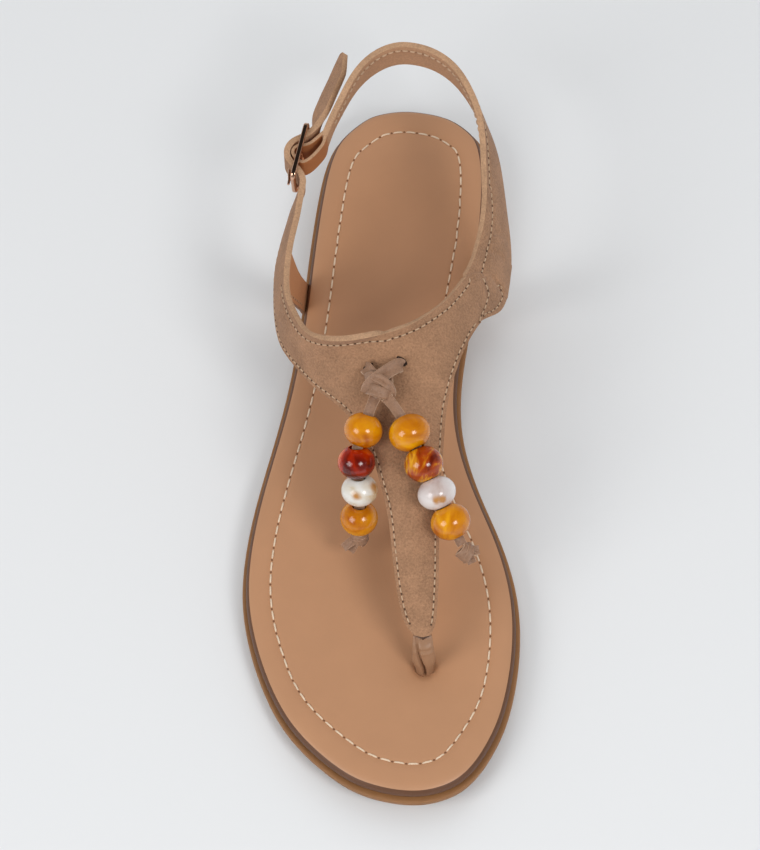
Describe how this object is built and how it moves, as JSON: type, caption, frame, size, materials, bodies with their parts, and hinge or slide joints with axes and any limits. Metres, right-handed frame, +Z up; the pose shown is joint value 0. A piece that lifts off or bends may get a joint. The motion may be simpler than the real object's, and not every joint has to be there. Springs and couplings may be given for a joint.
{
  "type": "flat sandal",
  "caption": "Flat thong sandal with a Y-shaped vamp, toe post, buckled heel strap and a beaded tie, on a thin low-heeled sole; worn on the right foot.",
  "frame": {"origin": "on the floor, on the flat underside of the heel, under the middle of the heel", "axes": "+Y from toe to heel, +X to the inner (medial) side of the foot, +Z up"},
  "size_m": [0.0881, 0.2529, 0.0643],
  "materials": {
    "sole_rubber": "satin brown moulded rubber",
    "footbed_skin": "smooth tan synthetic leather over foam",
    "suede": "taupe suede with a thin tan lining",
    "post_strip": "smooth folded strip",
    "rose_gold": "polished rose-gold plating",
    "lace": "flat taupe suede lace",
    "bead_ochre": "glossy ochre resin",
    "bead_amber": "glossy translucent amber resin",
    "bead_shell": "glossy marbled shell-like resin"
  },
  "bodies": {
    "root": {"outsole": "sole_rubber", "footbed": "footbed_skin", "upper": "suede", "toe_post": "post_strip", "buckle_frame": "rose_gold", "buckle_prong": "rose_gold", "tie_knot": "lace", "tie_end_lateral": "lace", "tie_end_medial": "lace", "end_knot_lateral": "lace", "end_knot_medial": "lace", "bead_lateral_1": "bead_ochre", "bead_lateral_2": "bead_amber", "bead_lateral_3": "bead_shell", "bead_lateral_4": "bead_ochre", "bead_medial_1": "bead_ochre", "bead_medial_2": "bead_amber", "bead_medial_3": "bead_shell", "bead_medial_4": "bead_ochre"}
  },
  "joints": []
}
